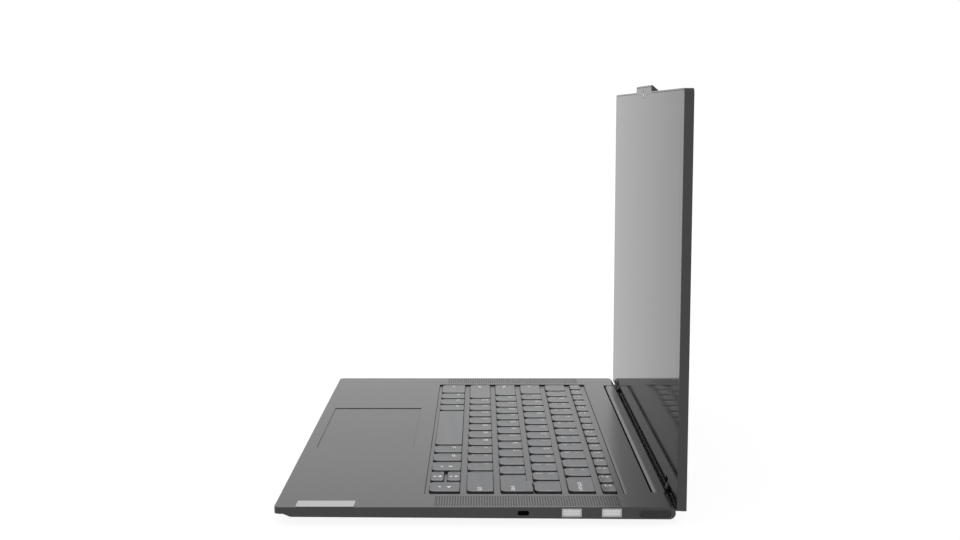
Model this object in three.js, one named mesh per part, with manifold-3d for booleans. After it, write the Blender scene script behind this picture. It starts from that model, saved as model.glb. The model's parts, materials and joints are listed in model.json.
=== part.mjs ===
// A slim 14 inch laptop computer, standing open with its lid upright.
//
// Millimetres, +Z up. The user sits at -Y and faces +Y, so +X is the user's right.
// Every dimension below is measured in "deck coordinates": x from the middle of the machine,
// y from the front edge of the palm rest, z from the top of the palm rest. One group then moves
// the whole model so that its origin is the middle of its footprint, on the table.

import * as THREE from "three";
import { mergeVertices } from "three/addons/utils/BufferGeometryUtils.js";
import Module from "manifold-3d";

const wasm = await Module();
wasm.setup();

// ---------------------------------------------------------------- driving dimensions

const HALF_WIDTH = 160.3; // base and lid are equally wide
const CORNER = 3; // plan radius of the base's and the lid's corners
const GAP = 0.1; // running gap round the trackpad

// Base side profile, from the thin front lip to the round rear end.
const LIP_HEIGHT = 3.4;
const LIP_DEPTH = 4.6;
const BEVEL_END = 8.4;
const FRONT_HEIGHT = 4.95;
const REAR_RADIUS = 3.1;
const REAR_CENTRE = 196.6;
const BASE_REAR = REAR_CENTRE + REAR_RADIUS;
const DECK_SKIN = 1.0;
const SIDE_WALL = 1.4;
const FRONT_BLOCK = 8.2;

// Bottom cover, a shallow dish that hangs below the side walls.
const FLOOR_Z = -8.7;
const FLOOR_SKIN = 0.9;
const FLOOR_HALF_WIDTH = 148;
const FLOOR_FRONT = 24;
const FLOOR_REAR = 186;
const FOOT_Z = -9.5;

// Lid, with its own thickness from the glass to the outer skin, and the camera tab on top.
const LID_FACE = 200.2;
const LID_THICKNESS = 4.8;
const LID_BACK = LID_FACE + LID_THICKNESS;
const LID_BOTTOM = -2.4;
const LID_TOP = 206.2;
const LID_FOOT_CORNER = 1;
const LID_RIM = 0.8;
const LID_SKIN = 0.7;
const GLASS = 0.7;
const TAB_HALF_WIDTH = 37;
const TAB_HEIGHT = 3.6;

// The hinge axis lies inside the lid. Closing turns the glass down to 0.8 mm above the deck.
const HINGE_Y = LID_FACE + 2.3;
const HINGE_Z = 3.1;
const KNUCKLE = 1.55;
const PIN = 0.85;
const PIN_BORE = 0.95;
const ARM_IN = 121; // the base knuckle spans ARM_IN to ARM_OUT along x
const ARM_OUT = 126.5;
const NOTCH_IN = 110.8;
const NOTCH_OUT = ARM_OUT + 1.2;
const NOTCH_TOP = 5.6;

// Keyboard.
const KEYS_HALF = 135.2;
const KEY_DEPTH = 14;
const KEY_GAP_X = 2.1;
const KEY_GAP_Y = 3.6;
const KEY_TOP = 0.4;
const KEY_UNDER = -1.6;
const KEYS_FRONT = 76.1;
const BOTTOM_ROW_DEPTH = 15.9;
const FUNCTION_ROW_DEPTH = 7.4;
const KEY_CLEARANCE = 0.15;
const WEB_TOP = -0.85;
const WEB_UNDER = -1.7;
const WELL = { half: 137.3, front: 73.8, rear: 176.9, bevel: 1.6 };

// Trackpad, speaker grilles and the rear slot that the hinge cover bar fills.
const PAD = { left: -61.5, right: 42.5, front: 7.2, rear: 63.5, top: -0.3, under: -1.5 };
const GRILLE = { inner: 141.5, outer: 157.8, front: 79.8, rear: 172.6 };
const BAR_SLOT = { half: 134.2, front: 190.5 };
const SILL = { rear: 203.6, top: -3.15, bottom: -6 };
const REAR_LIP = { inner: 134.6, outer: 153, bottom: -4.2 };

// Side openings, by the middle of each along y.
const USB_A = { ys: [148.1, 168], width: 9.8, top: -0.8, bottom: -5.1, wall: 0.2, back: 147 };
const POWER = { y: 124, z: -3, length: 5.6, height: 2.2 };
const VENT = { y: 189.4, z: -3.2, length: 16, height: 4 };
const HDMI = { y: 166, width: 14.6, top: -0.9, bottom: -5.4 };
const USB_C = { ys: [135, 149], width: 8.9, height: 3.2, z: -3.1 };
const AUDIO = { y: 121, z: -3.1, bore: 1.75, body: 2 };

const FAN = { x: 96, y: 153, half: 23, top: -4.2, bottom: -7.6, blade: 19 };

// ---------------------------------------------------------------- shape helpers

const X = new THREE.Vector3(1, 0, 0);
const Y = new THREE.Vector3(0, 1, 0);
const Z = new THREE.Vector3(0, 0, 1);

// A flat outline from a list of points.
const polygon = (points) => new THREE.Shape(points.map(([u, v]) => new THREE.Vector2(u, v)));

// A rectangle with round corners: the radius of the corners at the low v side can differ.
function roundRect(u0, u1, v0, v1, radius, lowRadius = radius) {
  const shape = new THREE.Shape();
  shape.moveTo(u0 + lowRadius, v0);
  shape.lineTo(u1 - lowRadius, v0);
  shape.absarc(u1 - lowRadius, v0 + lowRadius, lowRadius, -Math.PI / 2, 0);
  shape.lineTo(u1, v1 - radius);
  shape.absarc(u1 - radius, v1 - radius, radius, 0, Math.PI / 2);
  shape.lineTo(u0 + radius, v1);
  shape.absarc(u0 + radius, v1 - radius, radius, Math.PI / 2, Math.PI);
  shape.lineTo(u0, v0 + lowRadius);
  shape.absarc(u0 + lowRadius, v0 + lowRadius, lowRadius, Math.PI, Math.PI * 1.5);
  return shape;
}

function extrude(shape, depth, curveSegments) {
  return new THREE.ExtrudeGeometry(shape, { depth, bevelEnabled: false, curveSegments });
}

// The outline of a strip of even width along a bent line.
function ribbon(route, half) {
  const points = route.map(([u, v]) => new THREE.Vector2(u, v));
  const directions = points.slice(1).map((p, i) => p.clone().sub(points[i]).normalize());
  const edge = points.map((p, i) => {
    const before = directions[Math.max(i - 1, 0)];
    const after = directions[Math.min(i, directions.length - 1)];
    const mean = before.clone().add(after).normalize();
    return { p, normal: new THREE.Vector2(-mean.y, mean.x).multiplyScalar(half / mean.dot(before)) };
  });
  const right = edge.map(({ p, normal }) => p.clone().sub(normal));
  const left = edge.map(({ p, normal }) => p.clone().add(normal)).reverse();
  return new THREE.Shape([...right, ...left]);
}

// Extrusions of an outline drawn in (x, y), in (y, z) and in (x, z).
const alongZ = (shape, z0, z1, segments = 2) => extrude(shape, z1 - z0, segments).translate(0, 0, z0);

function alongX(shape, x0, x1, segments = 3) {
  const turn = new THREE.Matrix4().makeBasis(Y, Z, X);
  return extrude(shape, x1 - x0, segments).applyMatrix4(turn).translate(x0, 0, 0);
}

function alongY(shape, y0, y1, segments = 2) {
  const turn = new THREE.Matrix4().makeBasis(X, Z, Y.clone().negate());
  return extrude(shape, y1 - y0, segments).applyMatrix4(turn).translate(0, y1, 0);
}

function box(x0, x1, y0, y1, z0, z1) {
  return new THREE.BoxGeometry(x1 - x0, y1 - y0, z1 - z0).translate(
    (x0 + x1) / 2,
    (y0 + y1) / 2,
    (z0 + z1) / 2,
  );
}

// Cylinders along z, along x and along y.
const post = (x, y, z0, z1, radius, sides = 12) =>
  new THREE.CylinderGeometry(radius, radius, z1 - z0, sides)
    .rotateX(Math.PI / 2)
    .translate(x, y, (z0 + z1) / 2);

const rod = (x0, x1, y, z, radius, sides = 16) =>
  new THREE.CylinderGeometry(radius, radius, x1 - x0, sides)
    .rotateZ(Math.PI / 2)
    .translate((x0 + x1) / 2, y, z);

const rodY = (x, y0, y1, z, radius) =>
  new THREE.CylinderGeometry(radius, radius, y1 - y0, 8).translate(x, (y0 + y1) / 2, z);

// A solid between two outlines with equally many points, each with its own height as a function of y.
function loft(lower, lowerZ, upper, upperZ) {
  const low = lower.getPoints(3).slice(0, -1);
  const high = upper.getPoints(3).slice(0, -1);
  const n = low.length;
  const position = [...low.map((p) => [p.x, p.y, lowerZ(p.y)]), ...high.map((p) => [p.x, p.y, upperZ(p.y)])];
  const index = [];
  for (let i = 0; i < n; i++) {
    const j = (i + 1) % n;
    index.push(i, j, n + j, i, n + j, n + i);
  }
  for (const [a, b, c] of THREE.ShapeUtils.triangulateShape(low, [])) {
    index.push(a, c, b, n + a, n + b, n + c);
  }
  return new THREE.BufferGeometry()
    .setAttribute("position", new THREE.Float32BufferAttribute(position.flat(), 3))
    .setIndex(index);
}

// ---------------------------------------------------------------- booleans

function solidOf(geometry) {
  const bare = new THREE.BufferGeometry().setAttribute("position", geometry.getAttribute("position"));
  bare.setIndex(geometry.index);
  const merged = mergeVertices(bare);
  return new wasm.Manifold(
    new wasm.Mesh({
      numProp: 3,
      vertProperties: merged.attributes.position.array,
      triVerts: new Uint32Array(merged.index.array),
    }),
  );
}

function geometryOf(solid) {
  const mesh = solid.getMesh();
  return new THREE.BufferGeometry()
    .setAttribute("position", new THREE.BufferAttribute(mesh.vertProperties, mesh.numProp))
    .setIndex(new THREE.BufferAttribute(mesh.triVerts, 1));
}

const join = (...pieces) => geometryOf(pieces.map(solidOf).reduce((a, b) => a.add(b)));
const common = (a, b) => geometryOf(solidOf(a).intersect(solidOf(b)));
const cut = (body, ...tools) => geometryOf(tools.map(solidOf).reduce((a, b) => a.subtract(b), solidOf(body)));

const range = (count) => [...Array(count).keys()];
const both = [-1, 1];

// ---------------------------------------------------------------- base shells

const sideBottom = (y) =>
  -FRONT_HEIGHT - ((y - BEVEL_END) / (REAR_CENTRE - BEVEL_END)) * (2 * REAR_RADIUS - FRONT_HEIGHT);

const SCREWS = [
  ...both.flatMap((side) => [30, 105, 176].map((y) => [side * 140, y])),
  ...both.map((side) => [side * 45, 176]),
  [0, 105],
];

function deckCover() {
  const profile = new THREE.Shape();
  profile.moveTo(0.25, 0);
  profile.lineTo(0, -0.25);
  profile.lineTo(0, 0.25 - LIP_HEIGHT);
  profile.lineTo(0.25, -LIP_HEIGHT);
  profile.lineTo(LIP_DEPTH, -LIP_HEIGHT);
  profile.lineTo(BEVEL_END, -FRONT_HEIGHT);
  profile.lineTo(REAR_CENTRE, -2 * REAR_RADIUS);
  profile.absarc(REAR_CENTRE, -REAR_RADIUS, REAR_RADIUS, -Math.PI / 2, Math.PI / 2);
  const plan = roundRect(-HALF_WIDTH, HALF_WIDTH, 0, BASE_REAR + CORNER, CORNER);
  const outer = common(alongX(profile, -HALF_WIDTH, HALF_WIDTH, 8), alongZ(plan, -12, 1, 6));
  const inner = HALF_WIDTH - SIDE_WALL;
  const cavity = alongZ(roundRect(-inner, inner, FRONT_BLOCK, 196.2, 2), -12, -DECK_SKIN);
  const padHole = box(PAD.left - GAP, PAD.right + GAP, PAD.front - GAP, PAD.rear + GAP, -3, 1);
  const grilleHoles = both.map((side) => {
    const [a, b] = [side * GRILLE.inner, side * GRILLE.outer].sort((p, q) => p - q);
    return box(a, b, GRILLE.front, GRILLE.rear, -3, 1);
  });
  // The well's far edge is bevelled towards the keys.
  const wellBevel = polygon([
    [WELL.rear - 1, -0.8],
    [WELL.rear - 1, 1],
    [WELL.rear + WELL.bevel * 2, 0.25],
    [WELL.rear, -0.25],
  ]);
  const shell = cut(
    outer,
    cavity,
    box(-BAR_SLOT.half, BAR_SLOT.half, BAR_SLOT.front, 210, -12, 1),
    alongZ(roundRect(-WELL.half, WELL.half, WELL.front, WELL.rear, 1.2), -3, 1),
    alongX(wellBevel, -WELL.half, WELL.half),
    padHole,
    ...grilleHoles,
    ...sideOpenings(),
  );
  const bracketPosts = both.flatMap((side) =>
    [104, 114].map((x) => post(side * x, 184, -3.3, -DECK_SKIN + 0.2, 2, 8)),
  );
  return join(shell, ...bracketPosts, ...both.map(rearLip));
}

// Outboard of the hinge bar, a thin lip carries the bar's sill on towards the corners.
function rearLip(side) {
  const profile = polygon([
    [REAR_CENTRE + 1, -5.4],
    [REAR_CENTRE + 1.4, SILL.top],
    [SILL.rear - 0.6, SILL.top],
    [SILL.rear, SILL.top - 0.6],
    [SILL.rear - 0.6, REAR_LIP.bottom],
    [REAR_CENTRE + 4, REAR_LIP.bottom],
  ]);
  const [a, b] = [side * REAR_LIP.inner, side * REAR_LIP.outer].sort((p, q) => p - q);
  return alongX(profile, a, b);
}

// Everything that passes through the two side walls, and the pockets above the taller sockets.
function sideOpenings() {
  const w0 = HALF_WIDTH - SIDE_WALL - 1;
  const w1 = HALF_WIDTH + 1;
  const slotRight = (y, z, length, height, r) =>
    alongX(roundRect(y - length / 2, y + length / 2, z - height / 2, z + height / 2, r), w0, w1, 2);
  const slotLeft = (y, z, length, height, r) =>
    alongX(roundRect(y - length / 2, y + length / 2, z - height / 2, z + height / 2, r), -w1, -w0, 2);
  const clear = 0.1;
  const usbZ = (USB_A.top + USB_A.bottom) / 2;
  const usbHeight = USB_A.top - USB_A.bottom;
  const hdmiZ = (HDMI.top + HDMI.bottom) / 2;
  return [
    ...USB_A.ys.map((y) => slotRight(y, usbZ, USB_A.width + 2 * clear, usbHeight + 2 * clear, 0.15)),
    ...USB_A.ys.map((y) => box(USB_A.back - 0.5, w0 + 1, y - 5.7, y + 5.7, -1.5, USB_A.top + clear)),
    slotRight(POWER.y, POWER.z, POWER.length + 2 * clear, POWER.height + 2 * clear, POWER.height / 2),
    slotLeft(HDMI.y, hdmiZ, HDMI.width + 2 * clear, HDMI.top - HDMI.bottom + 2 * clear, 0.6),
    box(-w0 - 1, -148.5, HDMI.y - 7.6, HDMI.y + 7.6, -1.5, HDMI.top + clear),
    ...USB_C.ys.map((y) =>
      slotLeft(y, USB_C.z, USB_C.width + 2 * clear, USB_C.height + 2 * clear, USB_C.height / 2),
    ),
    rod(-w1, -w0, AUDIO.y, AUDIO.z, AUDIO.body + clear, 16),
    slotRight(VENT.y, VENT.z, VENT.length, VENT.height, VENT.height / 2 - 0.1),
    slotLeft(VENT.y, VENT.z, VENT.length, VENT.height, VENT.height / 2 - 0.1),
    box(156.8, w0 + 1.1, VENT.y - 8.3, VENT.y + 8.3, -5.6, -0.9),
    box(-w0 - 1.1, -156.8, VENT.y - 8.3, VENT.y + 8.3, -5.6, -0.9),
  ];
}

function bottomCover() {
  const seam = 0.15;
  const rimZ = (y) => sideBottom(y) - seam;
  const rim = roundRect(-HALF_WIDTH + 0.5, HALF_WIDTH - 0.5, BEVEL_END + 0.1, REAR_CENTRE, CORNER);
  const floor = roundRect(-FLOOR_HALF_WIDTH, FLOOR_HALF_WIDTH, FLOOR_FRONT, FLOOR_REAR, CORNER);
  const outer = loft(floor, () => FLOOR_Z, rim, rimZ);
  const inRim = roundRect(-HALF_WIDTH + 2.7, HALF_WIDTH - 2.7, BEVEL_END + 2.6, REAR_CENTRE - 1.7, CORNER);
  const inHalf = FLOOR_HALF_WIDTH - 0.8;
  const inFloor = roundRect(-inHalf, inHalf, FLOOR_FRONT + 1, FLOOR_REAR - 0.8, CORNER);
  const hollow = loft(inFloor, () => FLOOR_Z + FLOOR_SKIN, inRim, rimZ);
  const opening = alongZ(inRim, -6.8, 0, 3);
  const above = common(opening, loft(inRim, rimZ, inRim, () => 0));
  const slots = both.flatMap((side) =>
    range(9).map((i) => box(side * FAN.x - 17, side * FAN.x + 17, 135.5 + i * 4, 137.2 + i * 4, -12, -6)),
  );
  const screwHoles = SCREWS.flatMap(([x, y]) => [
    post(x, y, -12, -6, 1.2, 8),
    post(x, y, -12, -8.1, 2.6, 12),
  ]);
  return cut(outer, hollow, above, ...slots, ...screwHoles);
}

// ---------------------------------------------------------------- keyboard

// Each row runs from the left edge of the key field: a wide first key, equal keys, and a wide last key.
function rowWidths(first, count, last) {
  const pitch = (2 * KEYS_HALF - first - last) / count;
  return [first, ...Array(count).fill(pitch), last].filter((w) => w > 0);
}

const rowFront = (row) =>
  row === 0 ? KEYS_FRONT : KEYS_FRONT + BOTTOM_ROW_DEPTH + KEY_GAP_Y + (row - 1) * (KEY_DEPTH + KEY_GAP_Y);

const ROW_DEPTHS = [BOTTOM_ROW_DEPTH, KEY_DEPTH, KEY_DEPTH, KEY_DEPTH, KEY_DEPTH, FUNCTION_ROW_DEPTH];
const MODIFIER = 18;
const ARROW = 20.2;
const ARROW_SPLIT = 0.85;
const ENTER_WIDTH = 33.9;
const HOME = rowWidths(36.2, 11, ENTER_WIDTH);
const ROWS = {
  function_row: {
    front: rowFront(5),
    depth: FUNCTION_ROW_DEPTH,
    from: -KEYS_HALF,
    widths: rowWidths(0, 16, 0),
  },
  number_row: { front: rowFront(4), depth: KEY_DEPTH, from: -KEYS_HALF, widths: rowWidths(21.7, 12, 29.7) },
  tab_row: { front: rowFront(3), depth: KEY_DEPTH, from: -KEYS_HALF, widths: rowWidths(31.2, 12, 21.7) },
  home_row: { front: rowFront(2), depth: KEY_DEPTH, from: -KEYS_HALF, widths: HOME.slice(0, -1) },
  shift_row: { front: rowFront(1), depth: KEY_DEPTH, from: -KEYS_HALF, widths: rowWidths(45.2, 10, 40.7) },
  left_modifiers: {
    front: rowFront(0),
    depth: BOTTOM_ROW_DEPTH,
    from: -KEYS_HALF,
    widths: [28.2, MODIFIER, MODIFIER, MODIFIER],
  },
  space_bar: { front: rowFront(0), depth: BOTTOM_ROW_DEPTH, from: -53, widths: [91] },
  right_modifiers: { front: rowFront(0), depth: BOTTOM_ROW_DEPTH, from: 38, widths: [MODIFIER, 18.5] },
};

// A keycap seen from above: generous front corners, tight rear ones.
function keycap(x0, x1, y0, y1) {
  const inset = KEY_GAP_X / 2;
  return alongZ(roundRect(x0 + inset, x1 - inset, y0, y1, 0.8, 2.4), KEY_UNDER, KEY_TOP, 1);
}

function keyRow({ front, depth, from, widths }) {
  const caps = [];
  let x = from;
  for (const width of widths) {
    caps.push(keycap(x, x + width, front, front + depth));
    x += width;
  }
  if (caps.length === 1) return caps[0];
  const middle = front + depth / 2;
  const link = box(from + 4, x - 4, middle - 2, middle + 2, KEY_UNDER, KEY_UNDER + 0.4);
  return join(...caps, link);
}

// Left, down, up and right: the middle two share one key's depth.
function arrowKeys() {
  const y0 = KEYS_FRONT;
  const y1 = y0 + BOTTOM_ROW_DEPTH;
  const middle = (y0 + y1) / 2;
  const x = KEYS_HALF - 3 * ARROW;
  const link = box(x + 4, KEYS_HALF - 4, middle - 4, middle + 4, KEY_UNDER, KEY_UNDER + 0.4);
  return join(
    keycap(x, x + ARROW, y0, y1),
    keycap(x + ARROW, x + 2 * ARROW, y0, middle - ARROW_SPLIT),
    keycap(x + ARROW, x + 2 * ARROW, middle + ARROW_SPLIT, y1),
    keycap(x + 2 * ARROW, KEYS_HALF, y0, y1),
    link,
  );
}

// The enter key has a step that fills the gap up to the key behind it.
function enterKey() {
  const front = rowFront(2);
  const x0 = KEYS_HALF - ENTER_WIDTH;
  const right = KEYS_HALF - KEY_GAP_X / 2;
  const step = box(114.6, right, front + KEY_DEPTH - 1, front + KEY_DEPTH + 3, KEY_UNDER, KEY_TOP);
  return join(keycap(x0, KEYS_HALF, front, front + KEY_DEPTH), step);
}

// The recessed web that the keys rise through: bars between the rows, and a thinner strip between
// neighbouring keys, which passes above the links under the caps.
function keyboardFrame() {
  const half = WELL.half - 0.15;
  const plate = alongZ(roundRect(-half, half, WELL.front + 0.15, WELL.rear - 0.15, 1.2), WEB_UNDER, WEB_TOP);
  const slots = ROW_DEPTHS.map((depth, row) => {
    const y0 = rowFront(row) - KEY_CLEARANCE;
    return box(-KEYS_HALF, KEYS_HALF, y0, y0 + depth + 2 * KEY_CLEARANCE, -3, 0);
  });
  const step = box(113.5, KEYS_HALF, rowFront(2) + KEY_DEPTH, rowFront(3), -3, 0);
  return join(cut(plate, ...slots, step), ...Object.values(ROWS).flatMap(keyStrips), ...arrowStrips());
}

// The strips of web beside the keys of one row. The home row's last one stands before the enter key.
function keyStrips({ front, depth, from, widths }) {
  const edges = widths.map((_, i) => from + widths.slice(0, i + 1).reduce((a, b) => a + b));
  return edges.filter((x) => x < KEYS_HALF - 1).map((x) => webStrip(x, x, front, front + depth));
}

function webStrip(x0, x1, y0, y1) {
  const half = KEY_GAP_X / 2 - KEY_CLEARANCE;
  return box(x0 - half, x1 + half, y0 - 0.5, y1 + 0.5, WEB_TOP - 0.25, WEB_TOP);
}

// Between the arrow keys, and between the two shallow ones.
function arrowStrips() {
  const x = KEYS_HALF - 3 * ARROW;
  const y1 = KEYS_FRONT + BOTTOM_ROW_DEPTH;
  const middle = (KEYS_FRONT + y1) / 2;
  const rib = ARROW_SPLIT - KEY_CLEARANCE;
  return [
    webStrip(x + ARROW, x + ARROW, KEYS_FRONT, y1),
    webStrip(x + 2 * ARROW, x + 2 * ARROW, KEYS_FRONT, y1),
    box(x + ARROW, x + 2 * ARROW, middle - rib, middle + rib, WEB_TOP - 0.25, WEB_TOP),
  ];
}

const wellPlate = (z0, z1) => box(-WELL.half, WELL.half, WELL.front, WELL.rear, z0, z1);

// ---------------------------------------------------------------- deck fittings

const trackpad = () =>
  alongZ(roundRect(PAD.left, PAD.right, PAD.front, PAD.rear, 1.5), PAD.under, PAD.top, 1);

// A frame behind the trackpad, with the click button under its front edge.
function trackpadBracket() {
  const plate = box(PAD.left - 4, PAD.right + 4, PAD.front + 4, PAD.rear + 4, -2.6, -2.1);
  const window = box(PAD.left + 8, PAD.right - 8, PAD.front + 14, PAD.rear - 8, -3, -2);
  return cut(plate, window);
}

function speakerGrille() {
  const rim = 0.15;
  const { inner, outer, front, rear } = GRILLE;
  const plate = box(inner + rim, outer - rim, front + rim, rear - rim, -0.45, -0.02);
  const slots = range(22).map((i) => {
    const y = front + 3.4 + i * 4;
    return box(inner + 1.5, outer - 1.5, y, y + 1.6, -2, 1);
  });
  return cut(plate, ...slots);
}

const speaker = () => alongZ(roundRect(141, 156.5, 82, 114, 2), -5.2, -1.6, 1);

const badgePlate = () => alongZ(roundRect(149.8, 159.8, 10.8, 39.9, 0.4), 0.03, 0.25, 1);

// The rounded bar that fills the slot behind the keyboard. A sill behind it closes the gap under the
// lid. Air leaves through slots in both, and the hinge arms pass behind and under the bar.
function hingeCoverBar() {
  const front = BAR_SLOT.front + 0.8;
  const profile = new THREE.Shape();
  profile.moveTo(front, -6);
  profile.lineTo(front, -2.4);
  profile.quadraticCurveTo(front, -0.15, front + 2.6, -0.1);
  profile.lineTo(198.1, -0.2);
  profile.quadraticCurveTo(199.15, -0.9, 199.5, SILL.top);
  profile.lineTo(SILL.rear - 0.8, SILL.top);
  profile.lineTo(SILL.rear, SILL.top - 0.8);
  profile.lineTo(SILL.rear, SILL.bottom + 0.6);
  profile.lineTo(SILL.rear - 0.6, SILL.bottom);
  const bar = alongX(profile, -BAR_SLOT.half + 0.4, BAR_SLOT.half - 0.4, 7);
  const exhaust = both.flatMap((side) =>
    range(9).map((i) => {
      const x = side * 94 - 20 + i * 4.7;
      return box(x, x + 3.2, 180, 210, -5.3, -4.3);
    }),
  );
  return cut(bar, ...exhaust, ...both.flatMap(armWays));
}

// The bar stands clear of each hinge arm: a slanting slit for the arm and a channel for its tongue.
function armWays(side) {
  const [a, b] = [side * (ARM_IN - 0.5), side * (ARM_OUT + 0.5)].sort((p, q) => p - q);
  const slit = polygon([
    [195.6, -3.2],
    [198.3, -0.6],
    [HINGE_Y - 1.5, HINGE_Z + 0.8],
    [HINGE_Y + 1.6, HINGE_Z],
    [200.9, -1.6],
    [199.4, -5],
    [195.6, -5],
  ]);
  return [alongX(slit, a, b), box(a, b, 180, 199.4, -10, -3.2)];
}

function usbShell(y) {
  const { back, width, wall, bottom, top } = USB_A;
  const outer = box(back, HALF_WIDTH - 0.1, y - width / 2, y + width / 2, bottom, top);
  const w = width / 2 - wall;
  const hole = box(back + 0.4, HALF_WIDTH + 1, y - w, y + w, bottom + wall, top - wall);
  return cut(outer, hole);
}

const usbTongue = (y) => box(USB_A.back + 0.5, HALF_WIDTH - 0.6, y - 4.5, y + 4.5, -2.75, -1.4);

const powerButton = () =>
  alongX(
    roundRect(
      POWER.y - POWER.length / 2,
      POWER.y + POWER.length / 2,
      POWER.z - POWER.height / 2,
      POWER.z + POWER.height / 2,
      POWER.height / 2 - 0.02,
    ),
    157.4,
    HALF_WIDTH - 0.1,
    2,
  );

// A louvred insert behind the wall's rounded opening.
function sideVent() {
  const { y, z, length, height } = VENT;
  const outline = (grow) => {
    const [a, b] = [length / 2 + grow, height / 2 + grow];
    return roundRect(y - a, y + a, z - b, z + b, height / 2 - 0.3);
  };
  const flange = alongX(outline(0.2), 157.2, 158.6, 2);
  const face = alongX(outline(-0.08), 158.4, 159.8, 2);
  const louvres = range(12).map((i) => {
    const start = y - 6.7 + i * 1.15;
    return box(156, 161, start, start + 0.6, z - 1.25, z + 1.25);
  });
  return cut(join(flange, face), ...louvres);
}

// A socket: a sleeve closed at the back with its contact tongue.
function leftSocket(y, width, z0, z1, radius, tongue) {
  const x0 = -HALF_WIDTH + 0.1;
  const wall = 0.25;
  const outline = (shrink) =>
    roundRect(y - width / 2 + shrink, y + width / 2 - shrink, z0 + shrink, z1 - shrink, radius - shrink);
  const sleeve = cut(alongX(outline(0), x0, -149, 2), alongX(outline(wall), x0 - 1, -149.5, 2));
  const z = (z0 + z1) / 2;
  return join(sleeve, box(x0 + 1.4, -149.2, y - tongue / 2, y + tongue / 2, z - 0.35, z + 0.35));
}

function audioJack() {
  const x0 = -HALF_WIDTH + 0.1;
  const { y, z, bore, body } = AUDIO;
  const block = box(-158.6, -147, y - 3, y + 3, -5.2, -1.2);
  return cut(join(block, rod(x0, -158, y, z, body, 16)), rod(x0 - 1, -148, y, z, bore, 16));
}

const foot = (y0, y1) =>
  alongZ(roundRect(-112, 112, y0, y1, (y1 - y0) / 2 - 0.05), FOOT_Z, FLOOR_Z - 0.02, 2);

// ---------------------------------------------------------------- inside the base

function batteryPack() {
  const cells = range(4).map((i) => {
    const x = -127 + i * 64;
    return alongZ(roundRect(x, x + 62, 27, 70, 2), -7.4, -3.1, 1);
  });
  return join(...cells, box(-126, 126, 28.5, 32, -6.4, -4));
}

function mainboard() {
  const outline = polygon([
    [-134, 80],
    [134, 80],
    [134, 128],
    [68, 128],
    [68, 176],
    [-68, 176],
    [-68, 128],
    [-134, 128],
  ]);
  const board = alongZ(outline, -5.0, -4.2);
  const chips = [
    box(-11, 11, 138, 162, -5.6, -4.9),
    box(-34, -18, 134, 150, -5.6, -4.9),
    box(-34, -18, 152, 168, -5.6, -4.9),
    box(20, 32, 140, 152, -5.6, -4.9),
    box(60, 84, 84, 100, -6.2, -4.9),
    box(96, 128, 86, 92, -6.4, -4.9),
  ];
  return join(board, ...chips);
}

// Cold plate, one flat pipe to each side and two comb-shaped fin stacks.
function heatsink() {
  const route = [
    [-114, 183.5],
    [-60, 183.5],
    [-22, 151],
    [22, 151],
    [60, 183.5],
    [114, 183.5],
  ];
  const pipe = alongZ(ribbon(route, 2.6), -6.9, -5.9);
  const plate = box(-13, 13, 137, 165, -6.7, -5.9);
  const stacks = both.flatMap((side) => {
    const x = side * 94 - 22;
    const fins = range(15).map((i) => box(x + i * 3.1, x + i * 3.1 + 0.5, 179, 189.4, -6.6, -4.8));
    return [...fins, box(x, x + 44, 179, 189.4, -5.1, -4.7)];
  });
  return join(pipe, plate, ...stacks);
}

const ssd = () => join(box(-112, -32, 84, 106, -6.3, -5.5), box(-104, -60, 86, 104, -7.5, -6.2));

const wifiCard = () => join(box(4, 34, 84, 106, -6.2, -5.4), box(8, 26, 87, 103, -7.4, -6.1));

// Flat blower: a tray with a round well, an intake below and an outlet at the rear.
function fanHousing() {
  const { x, y, half, top, bottom, blade } = FAN;
  const body = alongZ(roundRect(x - half, x + half, y - half, y + half, 4), bottom, top, 1);
  return cut(
    body,
    post(x, y, bottom + 0.5, top - 0.5, blade + 1.6, 24),
    box(x - 17, x + 17, y, y + half + 2, bottom + 0.5, top - 0.5),
    post(x, y, bottom - 1, bottom + 1, 13, 20),
  );
}

function fanRotor() {
  const { x, y, top, bottom, blade } = FAN;
  const hub = post(x, y, bottom + 0.9, top - 0.8, 7.5, 16);
  const blades = range(13).map((i) =>
    box(6.5, blade, -0.35, 0.35, bottom + 1, top - 0.9)
      .rotateZ((i / 13) * 2 * Math.PI)
      .translate(x, y, 0),
  );
  return join(hub, ...blades);
}

// ---------------------------------------------------------------- hinges

// Steel bracket in the base: a plate, an arm that rises behind the bar, and a knuckle on the axis.
function hingeBaseBracket() {
  const arm = polygon([
    [HINGE_Y - 1.1, HINGE_Z + 0.4],
    [198.1, -3.5],
    [197.2, -4.4],
    [198.4, -4.4],
    [HINGE_Y + 0.6, HINGE_Z - 1.2],
  ]);
  const tongue = box(ARM_IN, ARM_OUT, 178.5, 198, -4.4, -3.5);
  const plate = box(100, ARM_OUT, 178.5, 190, -4.4, -3.5);
  const knuckle = rod(ARM_IN, ARM_OUT, HINGE_Y, HINGE_Z, KNUCKLE);
  const body = join(alongX(arm, ARM_IN, ARM_OUT), tongue, plate, knuckle);
  const screws = [104, 114].map((x) => post(x, 184, -6, -2, 1.1, 8));
  return cut(body, rod(ARM_IN - 1, ARM_OUT + 1, HINGE_Y, HINGE_Z, PIN_BORE), ...screws);
}

// Steel leaf on the lid's skin, with a knuckle that grips the pin.
function hingeLidBracket() {
  const inner = NOTCH_IN + 0.6;
  const outer = ARM_IN - 0.4;
  const plate = box(92, outer, 203, 203.9, 3, 14.5);
  const knuckle = rod(inner, outer, HINGE_Y, HINGE_Z, KNUCKLE);
  const bore = rod(inner - 1, outer + 1, HINGE_Y, HINGE_Z, PIN_BORE);
  const screws = [97, 105].map((x) => rodY(x, 202, 205, 10, 1.1));
  return cut(join(plate, knuckle), bore, ...screws);
}

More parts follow.
